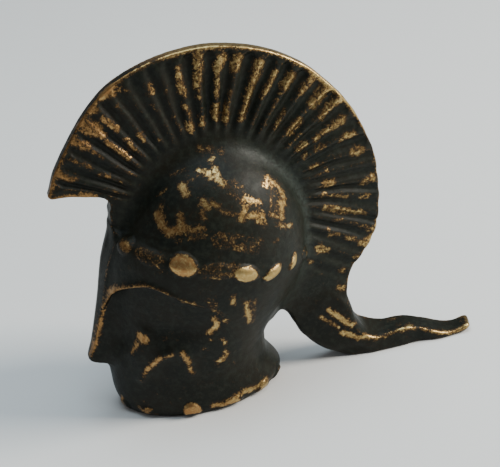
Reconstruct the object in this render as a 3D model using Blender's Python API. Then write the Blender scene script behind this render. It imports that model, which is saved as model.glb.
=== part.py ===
"""Crested Corinthian helmet, cast in brass in one piece at the size of a desk ornament.

Metres, +Z up. The face looks toward -X, the mid-plane is y = 0 and the casting stands on z = 0.
"""
import math

import bmesh
import bpy
from mathutils import Matrix, Vector

# Overall length from the crest's front tip to the tail's end
LENGTH = 0.0600

# Skull dome, stud ring and hollow
DOME_LONG = 0.0270
DOME_WIDE = 0.0222
DOME_RISE = 0.0150
RING_LONG = 0.0290
RING_WIDE = 0.0228
RING_LIFT = 0.0244
RING_TILT = math.radians(16.0)
WALL = 0.0024

# Crest, tail and nasal guard
CREST_THICK = 0.0030
CREST_RADIUS = 0.0246
CREST_LIFT = 0.0287
HEIGHT = CREST_LIFT + CREST_RADIUS
TAIL_WIDE = 0.0045
NASAL_WIDE = 0.0048
EDGE_ROUND = 0.0003

# Relief
RIB_COUNT = 33
RIB_RELIEF = 0.0004
STUD_WIDE = 0.0032
STUD_RELIEF = 0.0005
STUD_DROP = 0.0003
FACE_DEPTH = 0.0011
BEAD_RADIUS = 0.0004

# Places along the length
CREST_CENTRE = Vector((-0.123 * LENGTH, 0.0, CREST_LIFT))
RING_CENTRE = Vector((-0.147 * LENGTH, 0.0, RING_LIFT))
BASE_CENTRE_X = RING_CENTRE.x - 0.157 * RING_LONG
DOME_SHIFT = 0.031 * RING_LONG

# Rim of the crest from the front tip over the top to the neck: degrees, share of CREST_RADIUS
CREST_RIM = (
    (162, 0.972), (150, 0.967), (138, 0.971), (126, 0.994), (114, 1.003), (102, 1.006),
    (90, 1.005), (78, 1.003), (66, 1.000), (54, 1.002), (42, 1.002), (30, 0.999),
    (18, 0.997), (5, 0.984), (-8, 0.986), (-20, 0.990), (-31, 0.953), (-41, 0.985),
)

# Inner side of the crest from the neck to the front: shares of CREST_RADIUS from its centre
CREST_INNER = (
    (0.744, -0.805), (0.763, -0.944), (0.824, -1.082), (0.622, -1.106),
    (0.527, -1.045), (0.434, -0.954), (0.380, -0.861), (0.341, -0.753),
    (0.276, -0.709), (0.105, -0.590), (-0.066, -0.270), (-0.383, -0.248),
    (-0.639, -0.025), (-0.610, 0.114), (-0.605, 0.231), (-0.641, 0.257),
    (-0.773, 0.272), (-0.871, 0.291), (-0.917, 0.298),
)

# Side view of the tail: share of LENGTH, share of HEIGHT
TAIL_SIDE = (
    (0.105, 0.179), (0.150, 0.143), (0.185, 0.097), (0.228, 0.061), (0.272, 0.052),
    (0.330, 0.058), (0.362, 0.052), (0.402, 0.024), (0.450, 0.012), (0.484, 0.016),
    (0.500, 0.014), (0.498, 0.002), (0.450, 0.000), (0.360, 0.000), (0.190, 0.000),
    (0.132, 0.020), (0.088, 0.059), (0.070, 0.118),
)

# Nasal guard in side view: share of RING_LONG from the ring's middle, share of RING_LIFT
NASAL_SIDE = (
    (-0.472, 1.226), (-0.492, 1.142), (-0.540, 0.987), (-0.598, 0.744),
    (-0.660, 0.492), (-0.689, 0.409), (-0.668, 0.365), (-0.586, 0.337),
    (-0.503, 0.346), (-0.441, 0.862), (-0.420, 1.164),
)

# Levels of the bowl under the ring, base to ring: share of the climb, reach of the front and of
# the back along X from the middle as shares of RING_LONG, half width as a share of RING_WIDE
BOWL_LEVELS = (
    (0.000, -0.397, 0.414, 0.355),
    (0.040, -0.426, 0.426, 0.372),
    (0.130, -0.455, 0.393, 0.368),
    (0.250, -0.478, 0.331, 0.372),
    (0.400, -0.497, 0.319, 0.405),
    (0.550, -0.505, 0.356, 0.440),
    (0.700, -0.513, 0.401, 0.470),
    (0.850, -0.515, 0.451, 0.492),
    (0.930, -0.511, 0.480, 0.500),
    (1.000, -0.501, 0.501, 0.500),
    (1.035, -0.482, 0.484, 0.482),
    (1.070, -0.426, 0.439, 0.430),
)
BOWL_STEPS = 48

# Opening of the face in side view, in the same shares
FACE_OPENING = (
    (-0.854, 0.324), (-0.689, 0.431), (-0.654, 0.523), (-0.600, 0.696),
    (-0.565, 0.770), (-0.523, 0.849), (-0.474, 0.910), (-0.403, 0.939),
    (-0.329, 0.937), (-0.254, 0.910), (-0.155, 0.851), (-0.116, 0.748),
    (-0.137, 0.648), (-0.168, 0.565), (-0.275, 0.543), (-0.379, 0.516),
    (-0.466, 0.409), (-0.565, 0.280), (-0.854, 0.195),
)

# Beads on both cheeks in side view, in the same shares
BROW_BEAD = (
    (-0.499, 0.871), (-0.461, 0.919), (-0.403, 0.945), (-0.329, 0.943),
    (-0.254, 0.917), (-0.155, 0.858),
)
ARCH_BEAD = (
    (-0.466, 0.302), (-0.420, 0.387), (-0.362, 0.457), (-0.296, 0.492),
    (-0.246, 0.475), (-0.226, 0.409), (-0.213, 0.324),
)
CHEEK_BEAD = (
    (-0.486, 0.442), (-0.441, 0.538), (-0.383, 0.595),
)


def clear_scene():
    """Remove every object that is in the file."""
    for item in list(bpy.data.objects):
        bpy.data.objects.remove(item, do_unlink=True)


def add_object(name, mesh):
    """Link a mesh to the scene as an object."""
    item = bpy.data.objects.new(name, mesh)
    bpy.context.scene.collection.objects.link(item)
    return item


def finish_bmesh(name, work):
    """Turn a bmesh into an object with its faces pointing out."""
    bmesh.ops.remove_doubles(work, verts=work.verts, dist=0.000001)
    bmesh.ops.recalc_face_normals(work, faces=work.faces)
    mesh = bpy.data.meshes.new(name)
    work.to_mesh(mesh)
    work.free()
    return add_object(name, mesh)


def evaluated(item):
    """Replace an object by the mesh that its modifiers or its curve make."""
    graph = bpy.context.evaluated_depsgraph_get()
    mesh = bpy.data.meshes.new_from_object(item.evaluated_get(graph))
    mesh.transform(item.matrix_world)
    name = item.name
    bpy.data.objects.remove(item, do_unlink=True)
    work = bmesh.new()
    work.from_mesh(mesh)
    return finish_bmesh(name, work)


def combine(body, tool, operation):
    """Apply an exact Boolean of a tool to a body."""
    cut = body.modifiers.new("combine", "BOOLEAN")
    cut.operation = operation
    cut.solver = "EXACT"
    cut.object = tool
    bpy.context.view_layer.update()
    result = evaluated(body)
    bpy.data.objects.remove(tool, do_unlink=True)
    return result


def side_solid(name, points, width, edge=EDGE_ROUND):
    """Extrude a closed smooth outline of the side view to a width, with rounded edges."""
    curve = bpy.data.curves.new(name, "CURVE")
    curve.dimensions = "2D"
    curve.fill_mode = "BOTH"
    curve.extrude = width / 2.0 - edge
    curve.bevel_depth = edge
    curve.bevel_resolution = 0
    curve.offset = -edge
    curve.resolution_u = 3
    spline = curve.splines.new("BEZIER")
    spline.bezier_points.add(len(points) - 1)
    for knot, (x, z) in zip(spline.bezier_points, points):
        knot.co = (x, z, 0.0)
        knot.handle_left_type = "AUTO"
        knot.handle_right_type = "AUTO"
    spline.use_cyclic_u = True
    item = bpy.data.objects.new(name, curve)
    bpy.context.scene.collection.objects.link(item)
    item.matrix_world = Matrix.Rotation(math.radians(90.0), 4, "X")
    bpy.context.view_layer.update()
    return evaluated(item)


def crest_scaled(points):
    """Turn shares of CREST_RADIUS from the crest's centre into metres of the side view."""
    return [(CREST_CENTRE.x + x * CREST_RADIUS, CREST_CENTRE.z + z * CREST_RADIUS)
            for x, z in points]


def tail_scaled(points):
    """Turn shares of LENGTH and HEIGHT into metres of the side view."""
    return [(x * LENGTH, z * HEIGHT) for x, z in points]


def bowl_scaled(points):
    """Turn shares of RING_LONG and RING_LIFT into metres of the side view."""
    return [(RING_CENTRE.x + x * RING_LONG, z * RING_LIFT) for x, z in points]


def crest_rim():
    """Give the crest's rim in the side view, from the front tip to the neck."""
    points = []
    for degrees, share in CREST_RIM:
        angle = math.radians(degrees)
        reach = share * CREST_RADIUS
        points.append((CREST_CENTRE.x + reach * math.cos(angle),
                       CREST_CENTRE.z + reach * math.sin(angle)))
    return points


def make_crest():
    """Crest plate: a fan over the skull that runs down behind the neck."""
    return side_solid("crest", crest_rim() + crest_scaled(CREST_INNER), CREST_THICK)


def rim_reach(degrees):
    """Reach of the crest's rim from the crest's centre at an angle."""
    for (high, first), (low, second) in zip(CREST_RIM, CREST_RIM[1:]):
        if low <= degrees <= high:
            part = (high - degrees) / (high - low)
            return CREST_RADIUS * (first + part * (second - first))
    return CREST_RADIUS * CREST_RIM[0][1]


def add_rib(work, degrees):
    """Add one tapered oval bar that shows as a rib on both faces of the crest."""
    start = 0.60 * CREST_RADIUS
    end = rim_reach(degrees) - 2.2 * EDGE_ROUND
    pitch = math.radians(CREST_RIM[0][0] - CREST_RIM[-1][0]) / RIB_COUNT
    inner = 0.37 * pitch * start
    outer = 0.37 * pitch * end
    bar = bmesh.ops.create_cone(work, cap_ends=True, segments=8, radius1=inner, radius2=outer,
                                depth=end - start)["verts"]
    thick = CREST_THICK / 2.0 + RIB_RELIEF
    for vert in bar:
        vert.co.y *= thick / (inner if vert.co.z < 0.0 else outer)
    place = Matrix.Translation(CREST_CENTRE)
    place @= Matrix.Rotation(math.radians(90.0 - degrees), 4, "Y")
    place @= Matrix.Translation((0.0, 0.0, (start + end) / 2.0))
    bmesh.ops.transform(work, matrix=place, verts=bar)


def make_ribs():
    """Raised ribs of the crest, spread like rays round the crest's centre."""
    work = bmesh.new()
    first = CREST_RIM[0][0]
    last = CREST_RIM[-1][0]
    for index in range(RIB_COUNT):
        add_rib(work, first - (index + 0.5) * (first - last) / RIB_COUNT)
    return finish_bmesh("ribs", work)


def make_tail():
    """Tail of the crest: a thicker tongue that lies on the ground behind the neck."""
    return side_solid("tail", tail_scaled(TAIL_SIDE), TAIL_WIDE, 2.0 * EDGE_ROUND)


def ring_frame():
    """Place of the ring's plane: origin at its middle, X toward the back, Z up out of it."""
    return Matrix.Translation(RING_CENTRE) @ Matrix.Rotation(RING_TILT, 4, "Y")


def make_dome(inset):
    """Skull dome, an ellipsoid that stands on the ring's plane."""
    work = bmesh.new()
    bmesh.ops.create_uvsphere(work, u_segments=BOWL_STEPS, v_segments=26, radius=1.0)
    size = (DOME_LONG / 2.0 - inset, DOME_WIDE / 2.0 - inset, DOME_RISE - inset)
    bmesh.ops.transform(work, matrix=Matrix.Diagonal((*size, 1.0)), verts=work.verts)
    shift = Matrix.Translation((DOME_SHIFT, 0.0, 0.0))
    bmesh.ops.transform(work, matrix=ring_frame() @ shift, verts=work.verts)
    return finish_bmesh("dome", work)


def bowl_point(level, turn, inset):
    """Point of the bowl under the ring, at a level and an angle from the front."""
    share, front, back, half = level
    centre_x = BASE_CENTRE_X + share * (RING_CENTRE.x - BASE_CENTRE_X)
    reach = (-front if math.cos(turn) > 0.0 else back) * RING_LONG
    along = -(reach - inset) * math.cos(turn)
    across = -(half * RING_WIDE - inset) * math.sin(turn)
    tilt = RING_TILT * min(share, 1.0)
    return Vector((centre_x + along * math.cos(tilt), across,
                   share * RING_CENTRE.z - along * math.sin(tilt)))


def make_bowl(name, inset, drop):
    """Bowl from the ring to the base, bridged through its levels and closed at both ends."""
    work = bmesh.new()
    loops = []
    for level in BOWL_LEVELS:
        ring = bmesh.ops.create_circle(work, cap_ends=False, segments=BOWL_STEPS, radius=1.0)
        for index, vert in enumerate(ring["verts"]):
            vert.co = bowl_point(level, math.tau * index / BOWL_STEPS, inset)
            if level is BOWL_LEVELS[0]:
                vert.co.z -= drop
        loops.append(ring["verts"])
    for lower, upper in zip(loops, loops[1:]):
        edges = {edge for vert in lower + upper for edge in vert.link_edges
                 if len(edge.link_faces) < 2}
        ring_edges = [edge for edge in edges
                      if set(edge.verts) <= set(lower) or set(edge.verts) <= set(upper)]
        bmesh.ops.bridge_loops(work, edges=ring_edges)
    bmesh.ops.holes_fill(work, edges=work.edges)
    return finish_bmesh(name, work)


def make_face_cutter():
    """Skin of the bowl inside the face opening, cut away to sink the face."""
    cutter = side_solid("face cutter", bowl_scaled(FACE_OPENING), 2.0 * RING_WIDE)
    return combine(cutter, make_bowl("face", FACE_DEPTH, 0.0), "DIFFERENCE")


def make_nasal():
    """Nasal guard: a keel down the front that narrows from the brow to its tip."""
    nasal = side_solid("nasal", bowl_scaled(NASAL_SIDE), NASAL_WIDE, 2.0 * EDGE_ROUND)
    low = NASAL_SIDE[7][1] * RING_LIFT
    high = NASAL_SIDE[0][1] * RING_LIFT
    for vert in nasal.data.vertices:
        climb = (vert.co.z - low) / (high - low)
        vert.co.y *= 0.62 + 0.38 * climb
    return nasal


def ring_point(turn, rise, out):
    """Point on the ring at an angle from the front, lifted out of its plane and outward."""
    reach = RING_LONG / 2.0 + out
    half = RING_WIDE / 2.0 + out
    place = Vector((-reach * math.cos(turn), -half * math.sin(turn), rise))
    return ring_frame() @ place


def add_stud(work, centre, outward, upward, wide, high, proud):
    """Add one flattened ball whose short axis points outward."""
    ball = bmesh.ops.create_icosphere(work, subdivisions=2, radius=1.0)["verts"]
    side = upward.cross(outward).normalized()
    up = outward.cross(side).normalized()
    turn = Matrix((outward, side, up)).transposed().to_4x4()
    size = Matrix.Diagonal((proud, wide / 2.0, high / 2.0, 1.0))
    bmesh.ops.transform(work, matrix=Matrix.Translation(centre) @ turn @ size, verts=ball)


def make_ring_studs():
    """Row of low oval studs round the foot of the dome."""
    work = bmesh.new()
    upward = ring_frame().to_3x3() @ Vector((0.0, 0.0, 1.0))
    for side in (-1.0, 1.0):
        for index in range(8):
            turn = side * math.radians(24.0 + 20.0 * index)
            centre = ring_point(turn, -STUD_DROP, -STUD_RELIEF)
            ahead = ring_point(turn, -STUD_DROP, STUD_RELIEF)
            add_stud(work, centre, (ahead - centre).normalized(), upward, STUD_WIDE,
                     0.84 * STUD_WIDE, 2.0 * STUD_RELIEF)
    return finish_bmesh("ring studs", work)


def make_base_studs():
    """Row of half-moon bosses along the foot of the bowl, cut off by the base."""
    work = bmesh.new()
    for side in (-1.0, 1.0):
        for degrees in (52.0, 76.0, 100.0, 124.0, 148.0):
            turn = side * math.radians(degrees)
            centre = bowl_point(BOWL_LEVELS[1], turn, STUD_RELIEF)
            ahead = bowl_point(BOWL_LEVELS[1], turn, 0.0)
            outward = (ahead - centre)
            outward.z = 0.0
            add_stud(work, centre, outward.normalized(), Vector((0.0, 0.0, 1.0)),
                     0.95 * STUD_WIDE, STUD_WIDE, 1.35 * STUD_RELIEF)
    return finish_bmesh("base studs", work)


def bead_on(body, name, points, radius, side):
    """Lay a round bead on the bowl's skin along a line of the side view."""
    curve = bpy.data.curves.new(name, "CURVE")
    curve.dimensions = "3D"
    curve.bevel_depth = radius
    curve.bevel_resolution = 1
    curve.use_fill_caps = True
    curve.resolution_u = 3
    spline = curve.splines.new("BEZIER")
    spline.bezier_points.add(len(points) - 1)
    for knot, (x, z) in zip(spline.bezier_points, bowl_scaled(points)):
        start = Vector((x, side * RING_WIDE, z))
        found, place, _, _ = body.ray_cast(start, Vector((0.0, -side, 0.0)))
        knot.co = place if found else Vector((x, side * 0.2 * RING_WIDE, z))
        knot.co.y -= side * 0.25 * radius
        knot.handle_left_type = "AUTO"
        knot.handle_right_type = "AUTO"
    item = bpy.data.objects.new(name, curve)
    bpy.context.scene.collection.objects.link(item)
    bpy.context.view_layer.update()
    return evaluated(item)


def add_beads(body):
    """Brow rim, cheek ridge and cheek arch, raised on both sides of the bowl."""
    skin = make_bowl("skin", 0.0, 0.0)
    floor = make_bowl("floor", 0.6 * FACE_DEPTH, 0.0)
    bpy.context.view_layer.update()
    beads = []
    for side in (-1.0, 1.0):
        beads.append(bead_on(skin, "brow", BROW_BEAD, BEAD_RADIUS, side))
        beads.append(bead_on(skin, "arch", ARCH_BEAD, 1.5 * BEAD_RADIUS, side))
        beads.append(bead_on(floor, "ridge", CHEEK_BEAD, 1.5 * BEAD_RADIUS, side))
    for bead in beads:
        body = combine(body, bead, "UNION")
    bpy.data.objects.remove(skin, do_unlink=True)
    bpy.data.objects.remove(floor, do_unlink=True)
    return body


def make_hollow():
    """Room inside the bowl and dome, open through the base."""
    hollow = make_bowl("hollow", WALL, WALL)
    return combine(hollow, make_dome(WALL), "UNION")


def trim_base(body):
    """Cut the casting off at the surface that it stands on."""
    work = bmesh.new()
    bmesh.ops.create_cube(work, size=1.0)
    size = Matrix.Diagonal((2.0 * LENGTH, 4.0 * RING_WIDE, HEIGHT, 1.0))
    place = Matrix.Translation((0.0, 0.0, -HEIGHT / 2.0))
    bmesh.ops.transform(work, matrix=place @ size, verts=work.verts)
    return combine(body, finish_bmesh("ground", work), "DIFFERENCE")


def make_metal():
    """Dark browned brass with bright worn places, as one plain colour."""
    metal = bpy.data.materials.new("patinated_brass")
    metal.use_nodes = True
    shader = metal.node_tree.nodes["Principled BSDF"]
    shader.inputs["Base Color"].default_value = (0.022, 0.023, 0.019, 1.0)
    shader.inputs["Metallic"].default_value = 0.7
    shader.inputs["Roughness"].default_value = 0.42
    return metal


def build_helmet():
    """Join every form of the casting into one solid and hollow it."""
    body = make_bowl("helmet_casting", 0.0, 0.0)
    body = combine(body, make_face_cutter(), "DIFFERENCE")
    body = add_beads(body)
    for form in (make_dome(0.0), make_ring_studs(), make_base_studs(), make_nasal(),
                 make_crest(), make_tail()):
        body = combine(body, form, "UNION")
    body = combine(body, make_hollow(), "DIFFERENCE")
    body = trim_base(body)
    body = combine(body, make_ribs(), "UNION")
    body.name = "helmet_casting"
    body.data.name = "helmet_casting"
    body.data.materials.clear()
    body.data.materials.append(make_metal())
    for face in body.data.polygons:
        face.use_smooth = True
    body.data.set_sharp_from_angle(angle=math.radians(40.0))
    return body


clear_scene()
build_helmet()
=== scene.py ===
import math

import bpy
import numpy as np
from mathutils import Matrix, Vector


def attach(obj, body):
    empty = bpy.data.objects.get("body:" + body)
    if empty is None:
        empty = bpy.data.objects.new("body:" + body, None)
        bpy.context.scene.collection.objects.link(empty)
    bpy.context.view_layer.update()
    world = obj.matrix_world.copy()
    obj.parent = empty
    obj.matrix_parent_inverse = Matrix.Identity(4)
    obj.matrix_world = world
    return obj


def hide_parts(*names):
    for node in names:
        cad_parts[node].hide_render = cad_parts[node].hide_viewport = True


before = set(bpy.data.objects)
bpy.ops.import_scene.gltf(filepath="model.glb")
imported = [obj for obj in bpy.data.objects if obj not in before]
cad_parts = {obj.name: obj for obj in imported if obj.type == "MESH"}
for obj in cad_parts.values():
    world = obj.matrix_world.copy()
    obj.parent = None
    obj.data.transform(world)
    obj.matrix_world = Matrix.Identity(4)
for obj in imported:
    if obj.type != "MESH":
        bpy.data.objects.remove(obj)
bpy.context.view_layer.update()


# The helmet: a hollow brass casting made in one pour, skull, ring of studs, neck guard, nasal
# guard, crest and tail together, with soft fillets where one form runs into the next. It is
# browned nearly black and rubbed back to bare brass on every high place. Shapes are in mm.

# Middle of the ring of studs, its tilt and half sizes; middle of the foot and its half sizes;
# wall round the hollow
RING_X, RING_Z = -8.82, 24.4
RING_TILT = math.radians(16.0)
RING_LONG, RING_WIDE = 14.5, 11.4
BASE_X = -13.37
BASE_LONG, BASE_WIDE = 12.3, 8.4
WALL = 2.4
# Skull: how far behind the ring's middle it stands, its half length, half width and height
DOME_BACK, DOME_LONG, DOME_WIDE, DOME_HIGH = 0.9, 13.3, 11.1, 14.8
# Cheek: depth of the eye opening, and height and width of the brow rim, arch and ridge
EYE_DEEP = 1.2
BROW_HIGH, BROW_WIDE = 0.34, 0.5
ARCH_HIGH, ARCH_WIDE = 0.42, 0.75
CHEEK_HIGH, CHEEK_WIDE = 0.36, 1.1
# Nasal guard: half width at its tip and what it gains to the brow, height of the tip, and length
NASAL_HALF, NASAL_GAIN, NASAL_LOW, NASAL_LONG = 1.15, 0.75, 8.2, 14.0
# Crest: half thickness at the rim, what it gains in each mm inward, how far its ribs stand out,
# and the rounding of its arrises
CREST_HALF, CREST_GAIN, RIB_PROUD, CREST_ROUND = 0.88, 0.075, 0.2, 0.28
# Tail: swing to one side, tilt at its root, rounding of its arrises, height and width of a lock
# of hair, and height of the waves on its flanks
TAIL_SWING, TAIL_TILT, TAIL_ROUND = 0.8, 0.28, 0.42
LOCK_HIGH, LOCK_WIDE, WAVE_HIGH = 0.25, 0.8, 0.12
# Fillets where the forms meet: skull, nasal guard, crest, what the crest's gains at the neck and
# on top, tail, and inside the hollow; then the arrises at the hollow's mouth and at the foot
DOME_FILLET, NASAL_FILLET, CREST_FILLET, NECK_MORE, TOP_MORE = 1.6, 1.3, 1.4, 1.8, 1.7
TAIL_FILLET, ROOM_FILLET, MOUTH_ARRIS, FOOT_ARRIS = 1.8, 1.2, 0.6, 0.5
# Unevenness of the skin: height, length of its waves, and seed of their directions
UNEVEN = ((0.05, 9.0, 3), (0.018, 2.2, 4))

# Bowl from the base to the ring: share of the climb, reach to the front and back, half width
BOWL = np.array((
    (0.000, 11.4, 11.4, 7.8), (0.040, 12.2, 12.2, 8.2), (0.085, 12.8, 12.6, 8.35),
    (0.130, 13.2, 12.2, 8.4), (0.250, 13.9, 9.8, 8.5), (0.400, 14.4, 9.25, 9.2),
    (0.550, 14.65, 10.3, 10.0), (0.700, 14.9, 11.6, 10.7), (0.850, 14.95, 13.1, 11.2),
    (0.930, 14.8, 13.9, 11.4), (1.000, 14.5, 14.5, 11.4), (1.035, 14.0, 14.0, 11.0),
    (1.070, 12.9, 13.3, 10.2),
)).T

# Middle of the fan of ribs, and the reach from it at which a rib's two angles are given
CREST_X, CREST_Z = -7.27, 28.4
RIM_REACH, RIB_RUN = 23.5, 8.5

# Side views in mm, X then Z
CREST_EDGE = (
    (-30.2, 36.2), (-29.9, 36.9), (-28.8, 39.5), (-25.9, 43.9), (-23.3, 47.2), (-20.1, 50.1),
    (-16.8, 51.8), (-13.5, 52.9), (-10.4, 53.5), (-7.5, 53.7), (-5.0, 53.6), (-3.2, 53.3),
    (-0.3, 52.6), (2.5, 51.6), (5.4, 50.1), (8.4, 47.9), (10.8, 45.3), (12.8, 42.8),
    (14.4, 40.2), (15.7, 37.0), (17.0, 32.5), (17.2, 27.6), (17.1, 25.0), (16.5, 21.3),
    (15.3, 18.8), (13.6, 16.7), (11.9, 14.8), (11.2, 12.6), (10.8, 9.8), (11.2, 7.1),
    (12.4, 3.4), (8.5, 2.2), (6.2, 3.2), (3.9, 5.4), (2.4, 7.5), (1.4, 9.6), (0.2, 10.7),
    (-1.4, 10.0), (-4.8, 12.2), (-9.0, 22.1), (-16.8, 22.6), (-21.5, 28.1), (-22.3, 31.7),
    (-22.0, 32.8), (-22.05, 33.7), (-22.5, 34.4), (-23.2, 34.75), (-25.2, 35.2), (-27.2, 35.6),
    (-28.6, 35.7), (-29.4, 35.7), (-29.9, 35.8),
)
TAIL_EDGE = (
    (7.0, 11.2), (10.4, 9.5), (11.4, 6.5), (12.1, 5.1), (13.0, 4.1), (14.5, 3.3), (15.9, 3.0),
    (18.1, 3.1), (19.7, 3.15), (21.2, 2.85), (23.2, 2.1), (24.6, 1.5), (26.0, 1.05), (27.3, 0.9),
    (28.3, 1.0), (29.1, 1.3), (29.7, 1.35), (30.0, 0.95), (29.8, 0.6), (29.0, 0.25),
    (27.8, 0.05), (26.0, -0.05), (21.6, -0.3), (13.0, -0.4), (10.4, 0.1), (7.9, 1.3),
    (6.2, 2.4), (4.5, 4.3), (3.6, 6.6),
)
TAIL_TOP = (
    (8.5, 14.0), (10.4, 9.5), (11.4, 6.5), (12.1, 5.1), (13.0, 4.1), (14.5, 3.3), (15.9, 3.0),
    (18.1, 3.1), (19.7, 3.15), (21.2, 2.85), (23.2, 2.1), (24.6, 1.5), (26.0, 1.05), (27.3, 0.9),
    (28.3, 1.0), (29.1, 1.3), (29.8, 1.35),
)
LOCK_LINES = (
    ((5.0, 12.0), (7.0, 9.7), (9.3, 7.5), (11.0, 5.6), (12.2, 4.2)),
    ((4.6, 9.6), (6.4, 7.0), (8.0, 5.5), (9.7, 4.1), (11.7, 3.1), (13.5, 2.4)),
)
NASAL_EDGE = (
    (-22.4, 30.4), (-23.0, 28.2), (-24.5, 24.5), (-26.15, 18.2), (-28.0, 11.8), (-28.9, 9.4),
    (-28.7, 8.7), (-27.6, 8.1), (-26.3, 7.8), (-24.4, 7.9), (-22.0, 10.0), (-20.8, 21.0),
    (-20.6, 28.4),
)
FACE_EDGE = (
    (-34.0, 9.0), (-28.8, 10.3), (-27.5, 12.8), (-26.2, 16.6), (-25.0, 18.9), (-23.9, 20.9),
    (-22.7, 22.1), (-20.5, 23.1), (-18.4, 23.0), (-16.2, 21.8), (-13.3, 20.2), (-8.0, 17.4),
    (-2.0, 12.0), (-8.0, 2.0), (-24.0, -1.0), (-34.0, 3.0),
)
BROW_LINE = (
    (-28.5, 10.0), (-27.6, 12.0), (-27.0, 13.2), (-26.0, 16.3), (-25.2, 18.4), (-24.2, 20.5),
    (-22.9, 22.1), (-20.5, 23.2), (-19.4, 23.4), (-17.6, 22.6), (-16.2, 21.7), (-15.1, 20.9),
    (-13.1, 20.0),
)
ARCH_LINE = (
    (-22.2, 7.2), (-21.6, 8.5), (-20.5, 10.1), (-19.0, 11.3), (-17.5, 11.9), (-16.2, 11.8),
    (-15.4, 10.5), (-15.2, 9.0), (-15.0, 7.8),
)
CHEEK_LINE = ((-22.9, 11.1), (-22.0, 12.6), (-21.3, 14.0), (-20.8, 14.9))

# Ribs of the crest: the angle of each at the rim and at its inner end, in degrees
RIBS = np.array((
    (157.7, 157.0), (152.7, 152.7), (146.0, 146.7), (139.2, 140.5), (132.5, 134.2),
    (126.5, 128.2), (120.5, 121.7), (114.5, 115.5), (108.5, 109.5), (102.3, 103.5),
    (96.0, 97.7), (88.8, 90.8), (81.5, 83.5), (75.2, 77.6), (67.5, 69.7), (61.0, 62.7),
    (54.8, 56.3), (48.0, 50.0), (41.5, 43.0), (35.0, 37.0), (28.0, 31.0), (21.0, 25.0),
    (13.5, 17.8), (7.5, 11.6), (0.5, 5.3), (-5.2, -0.2), (-12.2, -7.6), (-17.8, -13.8),
    (-24.0, -20.4), (-30.2, -28.5), (-36.5, -36.5), (-42.0, -44.0),
))
RIB_DEPTH = np.array((
    (-46, 0.0), (-40, 0.12), (-30, 0.20), (-20, 0.25), (10, 0.28), (60, 0.42), (92, 0.46),
    (100, 0.30), (108, 0.18), (118, 0.22), (130, 0.32), (150, 0.27), (163, 0.20),
)).T


def smooth_line(points, closed):
    """Points of a curve through the given ones: cubic Hermite pieces whose slopes are the
    differences of the neighbours, with the square root of each chord as the step."""
    knots = np.array(points, float)
    if closed:
        knots = np.vstack((knots[-1], knots, knots[0], knots[1]))
    else:
        knots = np.vstack((2 * knots[0] - knots[1], knots, 2 * knots[-1] - knots[-2]))
    steps = np.hypot(*np.diff(knots, axis=0).T) ** 0.5
    times = np.concatenate(((0.0,), np.cumsum(steps)))[:, None]
    slopes = (knots[2:] - knots[:-2]) / (times[2:] - times[:-2])
    start, end = knots[1:-2, None], knots[2:-1, None]
    gap = (times[2:-1] - times[1:-2])[:, None]
    part = (np.arange(7) / 7.0)[None, :, None]
    line = (
        (2 * part**3 - 3 * part**2 + 1) * start
        + (part**3 - 2 * part**2 + part) * gap * slopes[:-1, None]
        + (3 * part**2 - 2 * part**3) * end
        + (part**3 - part**2) * gap * slopes[1:, None]
    ).reshape(-1, 2)
    return line if closed else np.vstack((line, knots[-2]))


MAP_STEP = 0.1
MAP_X = np.arange(-34.5, 33.0, MAP_STEP)
MAP_Z = np.arange(-3.0, 57.0, MAP_STEP)


def side_map(points, closed):
    """Map over the side view of the distance to a smooth line, negative inside it if it is
    closed: the least distance to its pieces, and the parity of the crossings to one side."""
    line = smooth_line(points, closed)
    ends = np.roll(line, -1, axis=0) if closed else line[1:]
    x, z = np.meshgrid(MAP_X, MAP_Z, indexing="ij")
    nearest = np.full(x.shape, 1.0e6)
    inside = np.zeros(x.shape, bool)
    for (ax, az), (bx, bz) in zip(line, ends):
        ex, ez = bx - ax, bz - az
        part = np.clip(((x - ax) * ex + (z - az) * ez) / (ex * ex + ez * ez + 1e-12), 0, 1)
        nearest = np.minimum(nearest, (x - ax - part * ex) ** 2 + (z - az - part * ez) ** 2)
        if closed and az != bz:
            inside ^= ((az > z) != (bz > z)) & (x < ex * (z - az) / ez + ax)
    return np.sqrt(nearest) * np.where(inside, -1.0, 1.0)


def read_map(table, x, z):
    """Value of a side-view map at points, straight between its four nearest entries."""
    across = np.clip((x - MAP_X[0]) / MAP_STEP, 0, len(MAP_X) - 1.001)
    up = np.clip((z - MAP_Z[0]) / MAP_STEP, 0, len(MAP_Z) - 1.001)
    i, k = across.astype(int), up.astype(int)
    u, v = across - i, up - k
    lower = table[i, k] * (1 - u) + table[i + 1, k] * u
    upper = table[i, k + 1] * (1 - u) + table[i + 1, k + 1] * u
    return lower * (1 - v) + upper * v


crest_map = side_map(CREST_EDGE, True)
tail_map = side_map(TAIL_EDGE, True)
nasal_map = side_map(NASAL_EDGE, True)
face_map = side_map(FACE_EDGE, True)
brow_map = side_map(BROW_LINE, False)
arch_map = side_map(ARCH_LINE, False)
cheek_map = side_map(CHEEK_LINE, False)
top_map = side_map(TAIL_TOP, False)
lock_map = np.minimum(*(side_map(line, False) for line in LOCK_LINES))


def ease(value):
    """Smooth step from 0 at 0 to 1 at 1: three times the square less twice the cube."""
    part = np.clip(value, 0.0, 1.0)
    return part * part * (3.0 - 2.0 * part)


def join(first, second, fillet):
    """Union of two distance fields with a fillet: the lesser, lowered by a parabola where
    they differ by less than the fillet."""
    close = np.maximum(fillet - np.abs(first - second), 0.0) / fillet
    return np.minimum(first, second) - close * close * fillet * 0.25


def cut(first, second, fillet):
    """First field without the second: the join turned inside out, so the arris is rounded."""
    return -join(-first, second, fillet)


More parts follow.
